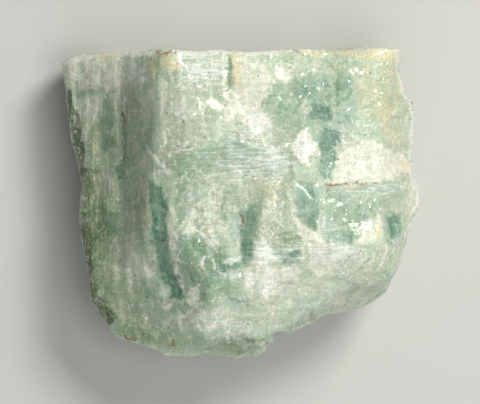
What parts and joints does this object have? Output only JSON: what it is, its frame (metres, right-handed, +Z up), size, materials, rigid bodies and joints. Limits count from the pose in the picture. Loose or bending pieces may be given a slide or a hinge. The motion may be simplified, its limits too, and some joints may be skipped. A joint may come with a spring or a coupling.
{
  "type": "aquamarine crystal",
  "caption": "Broken piece of a large natural aquamarine crystal, a blocky sea-green prism with one flat parting end, lying on its flat back as a mineral specimen.",
  "frame": {"origin": "on the table, under the middle of the crystal's box", "axes": "+Z up from the flat back it lies on, +Y along the crystal's long axis towards the flat parting, +X to the broken side"},
  "size_m": [0.0756, 0.0646, 0.0379],
  "materials": {
    "aquamarine": "translucent pale sea-green beryl, veiled and fractured, glassy to frosted broken surface"
  },
  "bodies": {
    "root": {"crystal": "aquamarine"}
  },
  "joints": []
}
